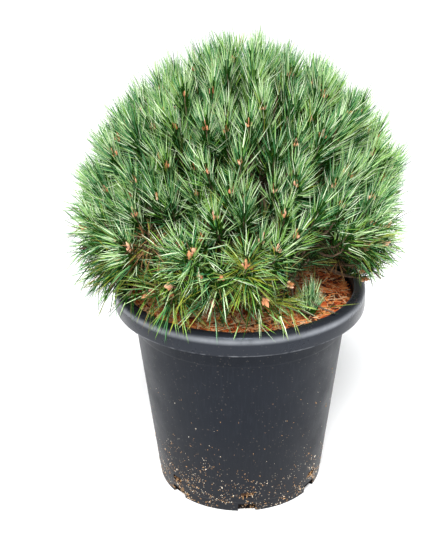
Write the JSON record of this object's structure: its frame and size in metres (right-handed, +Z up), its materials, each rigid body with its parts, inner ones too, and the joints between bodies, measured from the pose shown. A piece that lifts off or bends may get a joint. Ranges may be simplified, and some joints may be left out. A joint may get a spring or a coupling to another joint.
{
  "type": "potted watereri scots pine",
  "caption": "Dense mounded dwarf pine of paired blue-green needles, growing in a round black tapered nursery container.",
  "frame": {"origin": "centre of the container's underside, on the floor", "axes": "+Z up along the trunk, -Y towards the front of the picture, +X to its right"},
  "size_m": [0.4929, 0.4915, 0.6873],
  "materials": {
    "pot": "matt moulded black polyethylene",
    "soil": "dark damp potting substrate",
    "mulch": "dry red-brown bark and coir fibre",
    "bark": "flaking grey-brown to orange bark",
    "needles": "waxy blue-green needles",
    "low_needles": "waxy yellow-green needles"
  },
  "bodies": {
    "root": {"bough_low_tuft": "bark", "bough_lower_2": "bark", "bough_lower_3": "bark", "bough_lower_4": "bark", "bough_lower_5": "bark", "bough_lower_6": "bark", "bough_lower_7": "bark", "bough_lower_8": "bark", "bough_middle_1": "bark", "bough_middle_2": "bark", "bough_middle_3": "bark", "bough_middle_4": "bark", "bough_middle_5": "bark", "bough_middle_6": "bark", "bough_middle_7": "bark", "bough_middle_8": "bark", "bough_upper_1": "bark", "bough_upper_2": "bark", "bough_upper_3": "bark", "bough_upper_4": "bark", "bough_upper_5": "bark", "foliage_low_tuft": "low_needles", "foliage_lower_2": "low_needles", "foliage_lower_3": "low_needles", "foliage_lower_4": "low_needles", "foliage_lower_5": "low_needles", "foliage_lower_6": "low_needles", "foliage_lower_7": "low_needles", "foliage_lower_8": "low_needles", "foliage_middle_1": "needles", "foliage_middle_2": "needles", "foliage_middle_3": "needles", "foliage_middle_4": "needles", "foliage_middle_5": "needles", "foliage_middle_6": "needles", "foliage_middle_7": "needles", "foliage_middle_8": "needles", "foliage_top": "needles", "foliage_upper_1": "needles", "foliage_upper_2": "needles", "foliage_upper_3": "needles", "foliage_upper_4": "needles", "foliage_upper_5": "needles", "mulch": "mulch", "pot": "pot", "soil": "soil", "trunk": "bark"}
  },
  "joints": []
}
